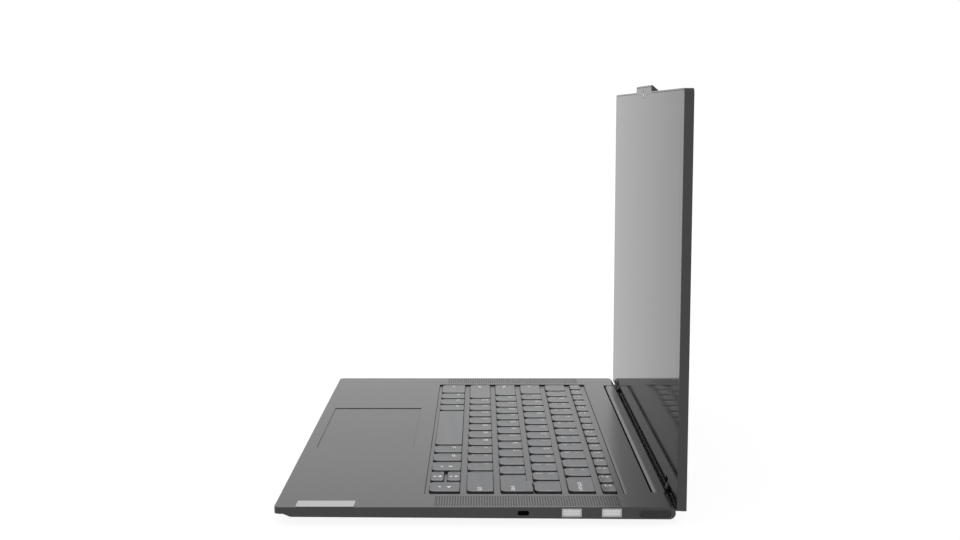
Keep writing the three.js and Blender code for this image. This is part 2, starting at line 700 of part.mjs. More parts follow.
const hingePin = () => rod(111, ARM_OUT + 0.4, HINGE_Y, HINGE_Z, PIN, 12);

// ---------------------------------------------------------------- lid

// The lid's outline in (x, z): a rounded panel with the camera tab on its top edge.
function lidOutline(inset, tabDrop = inset) {
  const w = HALF_WIDTH - inset;
  const r = CORNER - inset;
  const foot = Math.max(LID_FOOT_CORNER - inset, 0.1);
  const t = TAB_HALF_WIDTH - inset;
  const top = LID_TOP - inset;
  const bottom = LID_BOTTOM + inset;
  const tab = LID_TOP + TAB_HEIGHT - tabDrop;
  const slant = 1.2;
  const shape = new THREE.Shape();
  shape.moveTo(-w + foot, bottom);
  shape.lineTo(w - foot, bottom);
  shape.absarc(w - foot, bottom + foot, foot, -Math.PI / 2, 0);
  shape.lineTo(w, top - r);
  shape.absarc(w - r, top - r, r, 0, Math.PI / 2);
  shape.lineTo(t, top);
  shape.lineTo(t - slant, tab);
  shape.lineTo(slant - t, tab);
  shape.lineTo(-t, top);
  shape.lineTo(-w + r, top);
  shape.absarc(-w + r, top - r, r, Math.PI / 2, Math.PI);
  shape.lineTo(-w, bottom + foot);
  shape.absarc(-w + foot, bottom + foot, foot, Math.PI, Math.PI * 1.5);
  return shape;
}

// The tab thins to nothing at the back of the lid: this wedge is what is shaved off it.
function tabWedge(below, start) {
  const side = polygon([
    [LID_FACE + start, LID_TOP + TAB_HEIGHT - below],
    [LID_BACK - 0.2, LID_TOP - below],
    [LID_BACK + 5, LID_TOP - below],
    [LID_BACK + 5, LID_TOP + 10],
    [LID_FACE + start, LID_TOP + 10],
  ]);
  return alongX(side, -TAB_HALF_WIDTH - 1, TAB_HALF_WIDTH + 1);
}

const hingeNotches = (inner, outer, y1, z0) =>
  both.map((side) => {
    const [a, b] = [side * inner, side * outer].sort((p, q) => p - q);
    return box(a, b, LID_FACE - 1, y1, z0, NOTCH_TOP);
  });

function lidCover() {
  const skin = LID_BACK - LID_SKIN;
  const panel = cut(alongY(lidOutline(0), LID_FACE, LID_BACK, 6), tabWedge(0, 0.6));
  const footRim = box(-HALF_WIDTH, HALF_WIDTH, LID_FACE - 2, LID_BACK, LID_BOTTOM - 1, LID_BOTTOM + 1.6);
  const hollow = cut(alongY(lidOutline(LID_RIM), LID_FACE - 1, skin, 6), tabWedge(LID_RIM + 0.4, 1), footRim);
  const roundedFoot = polygon([
    [LID_FACE - 1, LID_BOTTOM - 1],
    [LID_FACE + 3.3, LID_BOTTOM - 1],
    [LID_FACE + 3.3, LID_BOTTOM],
    [LID_FACE + 2.3, LID_BOTTOM + 0.2],
    [LID_FACE + 1, LID_BOTTOM + 0.4],
    [LID_FACE, LID_BOTTOM + 0.85],
    [LID_FACE - 1, LID_BOTTOM + 1.6],
  ]);
  return cut(
    panel,
    hollow,
    alongX(roundedFoot, -HALF_WIDTH - 1, HALF_WIDTH + 1),
    ...hingeNotches(NOTCH_IN, NOTCH_OUT, skin, LID_BOTTOM - 1),
  );
}

function displayGlass() {
  const sheet = alongY(lidOutline(LID_RIM + 0.15), LID_FACE, LID_FACE + GLASS, 6);
  const below = box(-HALF_WIDTH, HALF_WIDTH, LID_FACE - 1, LID_FACE + 2, LID_BOTTOM - 1, LID_BOTTOM + 1.75);
  const notches = hingeNotches(ARM_IN - 0.45, ARM_OUT + 0.45, LID_FACE + 2, LID_BOTTOM - 1);
  return cut(sheet, below, ...notches);
}

const displayPanel = () =>
  join(box(-156.5, 156.5, 201.1, 203.3, 16.5, 199.5), box(-150, 150, 201.1, 203.0, 16.0, 17));

function cameraModule() {
  const board = box(-30, 30, 201.2, 202.0, 201, 206.4);
  return join(board, box(-4, 4, 201.2, 203.4, 200.8, 204.6), rodY(0, 200.95, 201.4, 204.5, 1.6));
}

// A flat cable from the foot of the panel to the left hinge, where it turns along the axis.
const displayCable = () =>
  join(box(-60, -50, 203.4, 203.8, 8.5, 20), box(-90.5, -50, 203.4, 203.8, 8.5, 12.5));

// ---------------------------------------------------------------- materials

const finish = (color, roughness, metalness) =>
  new THREE.MeshStandardMaterial({ color, roughness, metalness });
const SLATE = finish(0x55565a, 0.45, 0.6);
const DARK = finish(0x2a2a2c, 0.7, 0);
const KEY = finish(0x5c5d62, 0.6, 0);
const STEEL = finish(0xb8b8ba, 0.35, 1);
const BLACK_STEEL = finish(0x2c2c2e, 0.45, 1);
const LIGHT_PLASTIC = finish(0xd8d8d8, 0.5, 0);
const GLASS_FINISH = finish(0x0c0d0f, 0.06, 0);
const RUBBER = finish(0x1c1c1d, 0.9, 0);
const BOARD = finish(0x1e4a33, 0.6, 0);
const COPPER = finish(0xa86a42, 0.35, 1);
const BATTERY = finish(0x1a1a1c, 0.6, 0);

// ---------------------------------------------------------------- assembly

const laptop = new THREE.Group();
const model = new THREE.Group();
model.position.set(0, -LID_BACK / 2, -FOOT_Z);
laptop.add(model);

function place(name, geometry, material, parent = model) {
  const mesh = new THREE.Mesh(geometry, material);
  mesh.name = name;
  parent.add(mesh);
  return mesh;
}

// A piece on the right and its mirror image on the left.
function placePair(name, geometry, material) {
  place(`${name}_right`, geometry, material);
  place(`${name}_left`, geometry, material).scale.x = -1;
}

place("deck_cover", deckCover(), SLATE);
place("bottom_cover", bottomCover(), SLATE);

place("keyboard_frame", keyboardFrame(), SLATE);
place("keyboard_membrane", wellPlate(-3.3, -3.0), LIGHT_PLASTIC);
place("keyboard_backplate", wellPlate(-3.9, -3.4), STEEL);
for (const [name, row] of Object.entries(ROWS)) {
  place(`keys_${name}`, keyRow(row), KEY);
}
place("keys_enter", enterKey(), KEY);
place("keys_arrows", arrowKeys(), KEY);

place("trackpad", trackpad(), SLATE);
place("trackpad_bracket", trackpadBracket(), STEEL);
placePair("speaker_grille", speakerGrille(), SLATE);
placePair("speaker", speaker(), DARK);
place("badge_plate", badgePlate(), STEEL);
place("hinge_cover_bar", hingeCoverBar(), SLATE);

USB_A.ys.forEach((y, i) => {
  const where = ["front", "rear"][i];
  place(`usb_a_shell_${where}`, usbShell(y), STEEL);
  place(`usb_a_tongue_${where}`, usbTongue(y), LIGHT_PLASTIC);
});
place("power_button", powerButton(), DARK);
placePair("side_vent", sideVent(), DARK);
place("hdmi_socket", leftSocket(HDMI.y, HDMI.width, HDMI.bottom, HDMI.top, 0.6, 10), STEEL);
USB_C.ys.forEach((y, i) => {
  const half = USB_C.height / 2;
  const socket = leftSocket(y, USB_C.width, USB_C.z - half, USB_C.z + half, half - 0.02, 6);
  place(`usb_c_socket_${["front", "rear"][i]}`, socket, STEEL);
});
place("audio_socket", audioJack(), DARK);

place("front_foot", foot(28, 34), RUBBER);
place("rear_foot", foot(176.9, 183.9), RUBBER);

place("battery_pack", batteryPack(), BATTERY);
place("mainboard", mainboard(), BOARD);
place("heatsink", heatsink(), COPPER);
place("ssd", ssd(), BOARD);
place("wifi_card", wifiCard(), BOARD);
placePair("fan_housing", fanHousing(), DARK);
placePair("fan_rotor", fanRotor(), DARK);

placePair("hinge_base_bracket", hingeBaseBracket(), BLACK_STEEL);
placePair("hinge_lid_bracket", hingeLidBracket(), BLACK_STEEL);
placePair("hinge_pin", hingePin(), STEEL);

place("lid_cover", lidCover(), SLATE);
place("display_glass", displayGlass(), GLASS_FINISH);
place("display_panel", displayPanel(), DARK);
place("camera_module", cameraModule(), BOARD);
place("display_cable", displayCable(), DARK);

export default laptop;
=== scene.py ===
import json
import math

import bmesh
import bpy
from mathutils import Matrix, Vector

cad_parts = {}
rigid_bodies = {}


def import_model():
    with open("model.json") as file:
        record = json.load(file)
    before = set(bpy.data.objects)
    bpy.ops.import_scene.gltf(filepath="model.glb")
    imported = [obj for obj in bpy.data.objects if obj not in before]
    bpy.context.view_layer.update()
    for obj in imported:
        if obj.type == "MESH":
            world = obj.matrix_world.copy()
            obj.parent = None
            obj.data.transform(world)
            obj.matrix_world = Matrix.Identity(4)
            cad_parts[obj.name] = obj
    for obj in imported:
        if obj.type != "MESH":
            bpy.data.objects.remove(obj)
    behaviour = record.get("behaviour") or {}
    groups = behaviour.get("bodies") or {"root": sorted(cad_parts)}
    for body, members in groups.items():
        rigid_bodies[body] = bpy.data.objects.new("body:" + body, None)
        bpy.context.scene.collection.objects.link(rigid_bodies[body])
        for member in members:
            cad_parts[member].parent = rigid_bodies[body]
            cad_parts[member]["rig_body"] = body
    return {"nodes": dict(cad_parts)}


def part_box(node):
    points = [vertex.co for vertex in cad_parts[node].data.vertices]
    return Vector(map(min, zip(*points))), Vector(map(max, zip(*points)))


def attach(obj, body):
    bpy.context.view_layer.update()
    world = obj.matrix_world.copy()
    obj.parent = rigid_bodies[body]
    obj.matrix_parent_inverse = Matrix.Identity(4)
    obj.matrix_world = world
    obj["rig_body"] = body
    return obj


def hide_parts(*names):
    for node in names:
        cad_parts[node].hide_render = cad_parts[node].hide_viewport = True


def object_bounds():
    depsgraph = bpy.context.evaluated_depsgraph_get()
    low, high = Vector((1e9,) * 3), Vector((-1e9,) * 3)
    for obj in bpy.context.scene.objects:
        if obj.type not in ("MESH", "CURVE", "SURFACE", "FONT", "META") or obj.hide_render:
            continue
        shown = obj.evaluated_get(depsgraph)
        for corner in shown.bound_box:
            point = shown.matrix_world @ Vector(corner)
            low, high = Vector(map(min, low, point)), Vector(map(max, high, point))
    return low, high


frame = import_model()
CAD_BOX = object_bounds()

MM = 0.001
DECK_LO, DECK_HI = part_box("deck_cover")


def at(x, y, z):
    """A point in deck coordinates: mm from the middle, from the front edge and from the top."""
    return Vector((x * MM, DECK_LO.y + y * MM, DECK_HI.z + z * MM))


def deck_mm(point):
    """The deck coordinates, in mm, of a point of the frame."""
    return point.x / MM, (point.y - DECK_LO.y) / MM, (point.z - DECK_HI.z) / MM


def box_mm(node):
    """A CAD node's low and high corner in deck coordinates."""
    lo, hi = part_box(node)
    return deck_mm(lo), deck_mm(hi)


# ---------------------------------------------------------------- camera

CAMERA_TARGET = at(0, 102.5, 99.3)
CAMERA_DISTANCE = 0.8086
CAMERA_ELEVATION = math.radians(6.834)
CAMERA_LENS, CAMERA_SENSOR, CAMERA_CLIP = 50, 36, 0.01


def add_camera():
    """On the machine's right side and a little above it, aimed at the middle of its height."""
    data = bpy.data.cameras.new("camera")
    data.lens, data.sensor_width, data.clip_start = CAMERA_LENS, CAMERA_SENSOR, CAMERA_CLIP
    camera = bpy.data.objects.new("camera", data)
    bpy.context.scene.collection.objects.link(camera)
    outward = Vector((math.cos(CAMERA_ELEVATION), 0, math.sin(CAMERA_ELEVATION)))
    camera.location = CAMERA_TARGET + CAMERA_DISTANCE * outward
    camera.rotation_euler = (math.pi / 2 - CAMERA_ELEVATION, 0, math.pi / 2)
    bpy.context.scene.camera = camera


add_camera()

# ---------------------------------------------------------------- materials

RAMP = (0.3, 0.7)  # the part of a noise's range that is stretched over a whole variation


class Shader:
    """A Principled material with helpers for procedural detail in object space."""

    def __init__(self, name, color, roughness, metallic=0.0, **sockets):
        self.material = bpy.data.materials.new(name)
        self.material.use_nodes = True
        self.tree = self.material.node_tree
        self.bsdf = self.tree.nodes["Principled BSDF"]
        self.set("Base Color", (*color, 1))
        self.set("Roughness", roughness)
        self.set("Metallic", metallic)
        for socket, value in sockets.items():
            self.set(socket.replace("_", " "), value)

    def set(self, socket, value):
        self.bsdf.inputs[socket].default_value = value

    def node(self, kind, **inputs):
        """A new node of a kind, with its sockets set; an underscore stands for a space."""
        node = self.tree.nodes.new(kind)
        for key, value in inputs.items():
            node.inputs[key.replace("_", " ")].default_value = value
        return node

    def link(self, a, b):
        self.tree.links.new(a, b)

    def space(self, stretch=(1, 1, 1)):
        """Object coordinates, scaled along each axis."""
        coords = self.tree.nodes.new("ShaderNodeTexCoord")
        mapping = self.tree.nodes.new("ShaderNodeMapping")
        mapping.inputs["Scale"].default_value = stretch
        self.link(coords.outputs["Object"], mapping.inputs["Vector"])
        return mapping.outputs["Vector"]

    def noise(self, scale, detail, stretch=(1, 1, 1), rough=0.5):
        """A noise, its scale in cycles per metre, drawn out along the axes with a small stretch."""
        node = self.node("ShaderNodeTexNoise", Scale=scale, Detail=detail, Roughness=rough)
        self.link(self.space(stretch), node.inputs["Vector"])
        return node.outputs["Fac"]

    def spread(self, value, low, high):
        """A value of a noise turned into one between low and high."""
        node = self.node("ShaderNodeMapRange")
        for end, bound, number in (("Min", RAMP[0], low), ("Max", RAMP[1], high)):
            node.inputs[f"From {end}"].default_value = bound
            node.inputs[f"To {end}"].default_value = number
        self.link(value, node.inputs["Value"])
        return node.outputs["Result"]

    def vary_color(self, value, dark, light):
        ramp = self.tree.nodes.new("ShaderNodeValToRGB")
        for element, place, color in zip(ramp.color_ramp.elements, RAMP, (dark, light)):
            element.position = place
            element.color = (*color, 1)
        self.link(value, ramp.inputs["Fac"])
        self.link(ramp.outputs["Color"], self.bsdf.inputs["Base Color"])
        return self

    def vary_roughness(self, value, low, high):
        self.link(self.spread(value, low, high), self.bsdf.inputs["Roughness"])
        return self

    def bump(self, value, strength, distance):
        node = self.node("ShaderNodeBump", Strength=strength, Distance=distance)
        self.link(value, node.inputs["Height"])
        self.link(node.outputs["Normal"], self.bsdf.inputs["Normal"])
        return self


def tint(color, factor):
    """A color made darker or lighter."""
    return tuple(c * factor for c in color)


CLOUD_SCALE = 28
STREAK_SCALE = 900
GRAIN_HEIGHT, STREAK_HEIGHT = 0.00002, 0.00001


def grained(name, color, roughness, grain, bump, metallic=0.0, **sockets):
    """Blasted metal or moulded plastic: a fine grain, and slow variation in tone and gloss."""
    tone, gloss = (0.02, 0.012) if metallic else (0.05, 0.04)
    shader = Shader(name, color, roughness, metallic, **sockets)
    shader.vary_color(shader.noise(CLOUD_SCALE, 4), tint(color, 1 - tone), tint(color, 1 + tone))
    shader.vary_roughness(shader.noise(grain * 0.5, 3), roughness - gloss, roughness + gloss)
    return shader.bump(shader.noise(grain, 3, rough=0.65), bump, GRAIN_HEIGHT)


def brushed(name, color, roughness, stretch, metallic=1.0):
    """Drawn or stamped metal with fine parallel scratches."""
    shader = Shader(name, color, roughness, metallic)
    streaks = shader.noise(STREAK_SCALE, 4, stretch)
    shader.vary_color(streaks, tint(color, 0.88), tint(color, 1.05))
    shader.vary_roughness(streaks, roughness - 0.06, roughness + 0.08)
    return shader.bump(streaks, 0.15, STREAK_HEIGHT)


SLATE = (0.058, 0.058, 0.0585)
M = {
    "shell": grained("shell", SLATE, 0.285, 5200, 0.05, 1.0),
    "keycaps": grained("keycaps", (0.0625, 0.065, 0.071), 0.26, 6500, 0.03, 1.0),
    # painted shade: this near-black on the caps' left and right sides stands in for the shadow in the
    # gaps between caps
    "key_skirt_painted_shade": grained(
        "key_skirt_painted_shade", (0.007, 0.008, 0.011), 0.5, 6500, 0.08, Specular_IOR_Level=0.3
    ),
    "legend": grained("legend", (0.93, 0.93, 0.94), 0.6, 6000, 0.1),
    "trackpad": grained("trackpad", SLATE, 0.29, 9000, 0.02, 1.0),
    "grille_dark": grained("grille_dark", (0.004, 0.004, 0.004), 0.9, 3000, 0.2),
    "black_plastic": grained("black_plastic", (0.012, 0.012, 0.012), 0.5, 3500, 0.2),
    # a dark button, darkened further with almost no gloss as painted shade, so that it looks like the
    # shadow of a hole
    "button": grained(
        "button", (0.0008, 0.0008, 0.0008), 0.6, 3500, 0.2, Specular_IOR_Level=0.02
    ),
    # a dark filter mesh behind the vent's louvres; its darkness is painted shade for the inside of the
    # vent
    "filter_painted_shade": grained("filter_painted_shade", (0.011, 0.011, 0.011), 0.9, 2600, 0.4),
    "hinge_bar": grained("hinge_bar", SLATE, 0.27, 4200, 0.04, 1.0),
    "vent": grained("vent", (0.015, 0.015, 0.015), 0.55, 3500, 0.2),
    "rubber": grained("rubber", (0.018, 0.018, 0.018), 0.82, 2400, 0.35),
    "battery": grained("battery", (0.02, 0.02, 0.022), 0.5, 700, 0.4),
    "membrane": grained("membrane", (0.5, 0.5, 0.5), 0.4, 900, 0.1),
    "socket_tongue": grained("socket_tongue", (0.55, 0.55, 0.55), 0.45, 3500, 0.1),
    "steel": brushed("steel", (0.56, 0.56, 0.57), 0.32, (1, 12, 12)),
    "black_steel": grained(
        "black_steel", (0.012, 0.012, 0.013), 0.5, 2200, 0.15, Specular_IOR_Level=0.2
    ),
    "socket_metal": brushed("socket_metal", (0.62, 0.62, 0.63), 0.35, (1, 14, 14)),
    "badge": brushed("badge", (0.46, 0.46, 0.47), 0.34, (14, 1, 1), 0.5),
    "gold": brushed("gold", (0.72, 0.50, 0.18), 0.25, (1, 8, 8)),
    "copper": brushed("copper", (0.60, 0.28, 0.15), 0.32, (1, 10, 10)),
}


def circuit_material():
    """Green solder mask with a faint net of buried traces."""
    shader = Shader("circuit_board", (0.01, 0.09, 0.05), 0.35)
    dark, light, trace = (0.006, 0.075, 0.04, 1), (0.01, 0.10, 0.055, 1), (0.03, 0.16, 0.08, 1)
    brick = shader.node("ShaderNodeTexBrick", Scale=420.0, Color1=dark, Color2=light, Mortar=trace)
    shader.link(shader.space(), brick.inputs["Vector"])
    shader.link(brick.outputs["Color"], shader.bsdf.inputs["Base Color"])
    return shader.bump(brick.outputs["Fac"], 0.3, 0.00003)


GLASS_SPECULAR = 0.055


def glass_material(name, color, roughness):
    """Cover glass over black print: a hard gloss with the faintest smears."""
    shader = Shader(name, color, roughness, Specular_IOR_Level=GLASS_SPECULAR)
    shader.vary_color(shader.noise(12, 3), tint(color, 0.9), tint(color, 1.1))
    return shader.vary_roughness(shader.noise(22, 4, (1, 1, 0.4)), roughness, roughness + 0.025)


M["circuit_board"] = circuit_material()
M["display_glass"] = glass_material("display_glass", (0.006, 0.006, 0.007), 0.06)
M["display_area"] = glass_material("display_area", (0.010, 0.0105, 0.012), 0.065)
M["lens"] = Shader("lens", (0.002, 0.002, 0.006), 0.02, Coat_Weight=1.0)
M["lens"].vary_roughness(M["lens"].noise(400, 2), 0.02, 0.05)


def paint(obj, key):
    """Gives an object one material of the table in place of any others."""
    obj.data.materials.clear()
    obj.data.materials.append(M[key].material)


# ---------------------------------------------------------------- mesh helpers


def add_object(name, mesh, key, body, replaces=()):
    """A visible piece: its body, its one material, and the CAD nodes that it replaces."""
    obj = bpy.data.objects.new(name, mesh)
    bpy.context.scene.collection.objects.link(obj)
    paint(obj, key)
    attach(obj, body)
    if replaces:
        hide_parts(*replaces)
    return obj


def from_bmesh(name, bm, key, body, replaces=(), smooth=40):
    """Makes an object of a bmesh. Edges sharper than the smooth angle, in degrees, stay hard."""
    mesh = bpy.data.meshes.new(name)
    bmesh.ops.recalc_face_normals(bm, faces=bm.faces)
    bm.to_mesh(mesh)
    bm.free()
    mesh.polygons.foreach_set("use_smooth", [True] * len(mesh.polygons))
    mesh.set_sharp_from_angle(angle=math.radians(smooth))
    return add_object(name, mesh, key, body, replaces)


def soften(obj, width):
    """Rounds an object's hard edges, and keeps its flats flat in the shading."""
    bevel = obj.modifiers.new("bevel", "BEVEL")
    bevel.width, bevel.segments, bevel.limit_method = width * MM, 2, "ANGLE"
    bevel.angle_limit = math.radians(35)
    weighted = obj.modifiers.new("weighted", "WEIGHTED_NORMAL")
    weighted.keep_sharp = True


MERGE, CUT = 1e-6, 1e-7  # distances, in metres, under which corners count as one
FLAT_ANGLE = math.radians(0.5)  # faces that meet at less than this are one flat face


def refine(node, key, width, splits):
    """A visible copy of a CAD node with clean faces and edges rounded to a width in mm.

    Each split is an axis and a place in mm: a plane through the node's openings, so that no flat
    face is left with a hole in it.
    """
    source = frame["nodes"][node]
    bm = bmesh.new()
    bm.from_mesh(source.data)
    bmesh.ops.remove_doubles(bm, verts=bm.verts, dist=MERGE)
    for axis, place in splits:
        normal = Vector([float(axis == k) for k in "xyz"])
        point = at(*(place if axis == k else 0 for k in "xyz"))
        geometry = bm.verts[:] + bm.edges[:] + bm.faces[:]
        made = bmesh.ops.bisect_plane(bm, geom=geometry, dist=CUT, plane_co=point, plane_no=normal)
        for edge in made["geom_cut"]:
            if isinstance(edge, bmesh.types.BMEdge):
                edge.seam = True
    bmesh.ops.dissolve_limit(
        bm, angle_limit=FLAT_ANGLE, verts=bm.verts, edges=bm.edges, delimit={"SEAM"}
    )
    for edge in bm.edges:
        edge.seam = False
    name, body = node + "_finished", source["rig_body"]
    soften(from_bmesh(name, bm, key, body, (node,), smooth=50), width)


def outline(x0, x1, y0, y1, rear, front, steps=5):
    """A rectangle's outline with round corners: rear and front radii in mm, counter-clockwise."""
    points = []
    corners = [(x1 - front, y0 + front, front, -90), (x1 - rear, y1 - rear, rear, 0)]
    corners += [(x0 + rear, y1 - rear, rear, 90), (x0 + front, y0 + front, front, 180)]
    for cx, cy, radius, start in corners:
        for i in range(steps + 1):
            a = math.radians(start + 90 * i / steps)
            points.append((cx + radius * math.cos(a), cy + radius * math.sin(a)))
    return points


def circle(cx, cy, radius, steps, start=0.0):
    """Points around a circle in the plane, from an angle in radians."""
    angles = [start + 2 * math.pi * k / steps for k in range(steps)]
    return [(cx + radius * math.cos(a), cy + radius * math.sin(a)) for a in angles]


def loft(bm, rings, cap_high=True):
    """Joins rings of equally many points, in mm, into a skin, and returns the last ring."""
    made = [[bm.verts.new(at(*p)) for p in ring] for ring in rings]
    for low, high in zip(made, made[1:]):
        for i in range(len(low)):
            j = (i + 1) % len(low)
            bm.faces.new((low[i], low[j], high[j], high[i]))
    bm.faces.new(made[0][::-1])
    if cap_high:
        bm.faces.new(made[-1])
    return made[-1]


def box_into(bm, x0, x1, y0, y1, z0, z1):
    """A plain box between two places along each axis, in mm."""
    ring = [(x0, y0), (x1, y0), (x1, y1), (x0, y1)]
    loft(bm, [[(x, y, z0) for x, y in ring], [(x, y, z1) for x, y in ring]])


# ---------------------------------------------------------------- keyboard

(_, _, KEY_UNDER), (KEYS_X1, _, KEY_TOP) = box_mm("keys_arrows")
GAP = 2.1  # between two caps of a row
FIELD = KEYS_X1 + GAP / 2  # half the width of the key field
SHALLOW = 9.5  # a cap less deep than this is one of the function row or a half arrow
WIDE = 19  # a cap wider than this carries a word at its outer end
REAR_RADIUS, FRONT_RADIUS, FRONT_SHARE = 0.8, 3.5, 0.32
DISH, DISH_RAMP = 0.14, 3.0
DISH_STEPS = (0.9, 1.7, 2.6, 3.4)
SHALLOW_DISH_STEPS = (0.9, 1.6, 2.3)
MIDDLE_INSET = 0.8  # from the innermost step to the end of the middle line
SKIRT = [(0.0, KEY_UNDER), (0.02, KEY_TOP - 1.0), (0.2, KEY_TOP - 0.09)]
SHOULDER = [(0.24, KEY_TOP - 0.04), (0.31, KEY_TOP - 0.014), (0.4, KEY_TOP - 0.002)]
INK = (-0.03, 0.03)  # how far a print reaches below and above its cap's surface


def dish_depth(x, y, cap):
    """How far a cap's top lies below KEY_TOP at a place, in mm."""
    x0, x1, y0, y1 = cap
    u = min(x - x0, x1 - x, DISH_RAMP) / DISH_RAMP
    v = 2 * (y - y0) / (y1 - y0) - 1
    return DISH * max(0.0, u) * max(0.0, 1 - v * v)


def on_cap(points, cap, lift=0.0):
    """Points in the plane, set on the dished top of a cap."""
    return [(x, y, KEY_TOP - dish_depth(x, y, cap) + lift) for x, y in points]


def front_corner(cap):
    """The radius of a cap's two front corners, in mm."""
    return min(FRONT_RADIUS, (cap[3] - cap[2]) * FRONT_SHARE)


def keycap_into(bm, cap):
    """One cap: tapered skirt, crisp shoulder and a shallow dish across the top."""
    x0, x1, y0, y1 = cap
    front = front_corner(cap)
    rings = []
    for inset, z in SKIRT + SHOULDER:
        across, along = (x0 + inset, x1 - inset), (y0 + inset, y1 - inset)
        ring = outline(*across, *along, REAR_RADIUS, front - inset * 0.5)
        rings.append([(x, y, z) for x, y in ring])
    steps = SHALLOW_DISH_STEPS if y1 - y0 < SHALLOW else DISH_STEPS
    for inset in steps:
        across, along = (x0 + inset, x1 - inset), (y0 + inset, y1 - inset)
        rear = REAR_RADIUS - inset * 0.1
        ring = outline(*across, *along, max(0.3, rear), max(0.3, front - inset * 0.6))
        rings.append(on_cap(ring, cap))
    edge = loft(bm, rings, cap_high=False)
    close_dish(bm, cap, edge, rings[-1], steps[-1] + MIDDLE_INSET)


def close_dish(bm, cap, edge, places, inset):
    """Joins the innermost ring of a dish to one or two points on the cap's middle line."""
    x0, x1, y0, y1 = cap
    middle, centre = (y0 + y1) / 2, (x0 + x1) / 2
    left, right = x0 + inset, x1 - inset
    if right <= left:
        left = right = centre
    ridge = {}
    for x in {round(left, 4), round(right, 4)}:
        ridge[x] = bm.verts.new(at(x, middle, KEY_TOP - dish_depth(x, middle, cap)))
    nearest = [ridge[min(ridge)] if x < centre else ridge[max(ridge)] for x, _, _ in places]
    for i in range(len(edge)):
        j = (i + 1) % len(edge)
        if nearest[i] is nearest[j]:
            bm.faces.new((edge[i], edge[j], nearest[i]))
        else:
            bm.faces.new((edge[i], edge[j], nearest[j], nearest[i]))


def row_caps(node, widths):
    """Key outlines of a row from its CAD box: x0, x1, y0, y1 of each cap in mm."""
    (x0, y0, _), (_, y1, _) = box_mm(node)
    x = x0 - GAP / 2
    caps = []
    for width in widths:
        caps.append((x + GAP / 2, x + width - GAP / 2, y0, y1))
        x += width
    return caps


def even(total, first, count, last):
    """Widths of a row: equal keys between a first and a last one, either of which may be absent."""
    pitch = (total - first - last) / count
    return [w for w in [first] + [pitch] * count + [last] if w > 0]


FUNCTION_LABELS = ["esc", *(f"F{number}" for number in range(1, 13)), "ins", "prt", "del"]
ROWS = {
    "function_row": (even(2 * FIELD, 0, 16, 0), FUNCTION_LABELS),
    "number_row": (even(2 * FIELD, 21.7, 12, 29.7), ["`", *"1234567890-=", "backspace"]),
    "tab_row": (even(2 * FIELD, 31.2, 12, 21.7), ["tab", *"QWERTYUIOP[]", "\\"]),
    "home_row": (even(2 * FIELD, 36.2, 11, 33.9)[:-1], ["caps", *"ASDFGHJKL;'"]),
    "shift_row": (even(2 * FIELD, 45.2, 10, 40.7), ["shift", *"ZXCVBNM,./", "shift"]),
    "left_modifiers": ([28.2, 18, 18, 18], ["ctrl", "fn", "o", "alt"]),
    "space_bar": ([91], [""]),
    "right_modifiers": ([18, 18.5], ["alt", "ctrl"]),
}
SHIFTED = dict(zip("1234567890-=`[];',./\\", "!@#$%^&*()_+~{}:\"<>?|"))


def text_mesh(body, size):
    """The corners and faces of a flat text."""
    curve = bpy.data.curves.new("legend_text", "FONT")
    curve.body, curve.size = body, size
    curve.resolution_u = 2
    obj = bpy.data.objects.new("legend_text", curve)
    bpy.context.scene.collection.objects.link(obj)
    bpy.context.view_layer.update()
    evaluated = obj.evaluated_get(bpy.context.evaluated_depsgraph_get())
    mesh = evaluated.to_mesh()
    verts = [tuple(v.co) for v in mesh.vertices]
    faces = [tuple(p.vertices) for p in mesh.polygons]
    evaluated.to_mesh_clear()
    bpy.data.objects.remove(obj)
    bpy.data.curves.remove(curve)
    return verts, faces


TEXTS = {}


def legend_into(bm, body, size, x, y, cap, align="left"):
    """Printed legend: a thin layer of ink that follows the dish of its cap."""
    if (body, size) not in TEXTS:
        TEXTS[body, size] = text_mesh(body, size)
    verts, faces = TEXTS[body, size]
    xs = [v[0] for v in verts]
    shift = -min(xs) if align == "left" else -max(xs)
    layers = []
    for lift in INK:
        places = on_cap([(x + vx + shift, y + vy) for vx, vy, _ in verts], cap, lift)
        layers.append([bm.verts.new(at(*place)) for place in places])
    low, high = layers
    edges = {}
    for face in faces:
        bm.faces.new([high[i] for i in face])
        bm.faces.new([low[i] for i in reversed(face)])
        edges.update(dict.fromkeys(zip(face, face[1:] + face[:1])))
    for a, b in edges:
        if (b, a) not in edges:
            bm.faces.new((low[a], low[b], high[b], high[a]))


SMALL, WORD, SHORT_WORD, LETTER = 2.7, 3.9, 3.7, 4.9  # sizes of the legends in mm
MARGIN, WIDE_MARGIN = 2.2, 2.0
RIGHT_PART = 60  # wide caps beyond this place are printed at their right end


def label_cap(bm, cap, text):
    """Prints a cap: its place and size depend on the cap's shape and on a second, shifted sign."""
    x0, x1, y0, y1 = cap
    if not text:
        return
    if y1 - y0 < SHALLOW:
        legend_into(bm, text, SMALL, x0 + 1.9, y0 + 1.5, cap)
        mark_into(bm, x0 + 3.4, y1 - 2.7, 1.05, 4, 0, cap)
    elif x1 - x0 > WIDE:
        base = (y0 + y1) / 2 - 1.4
        if (x0 + x1) / 2 > RIGHT_PART:
            legend_into(bm, text, WORD, x1 - WIDE_MARGIN, base, cap, "right")
        else:
            legend_into(bm, text, WORD, x0 + WIDE_MARGIN, base, cap)
    elif text in SHIFTED:
        legend_into(bm, SHIFTED[text], WORD, x0 + MARGIN, y1 - 5.0, cap)
        legend_into(bm, text, WORD, x0 + MARGIN, y0 + 2.8, cap)
    else:
        size = LETTER if len(text) == 1 else SHORT_WORD
        legend_into(bm, text, size, x0 + MARGIN, y1 - 5.4, cap)


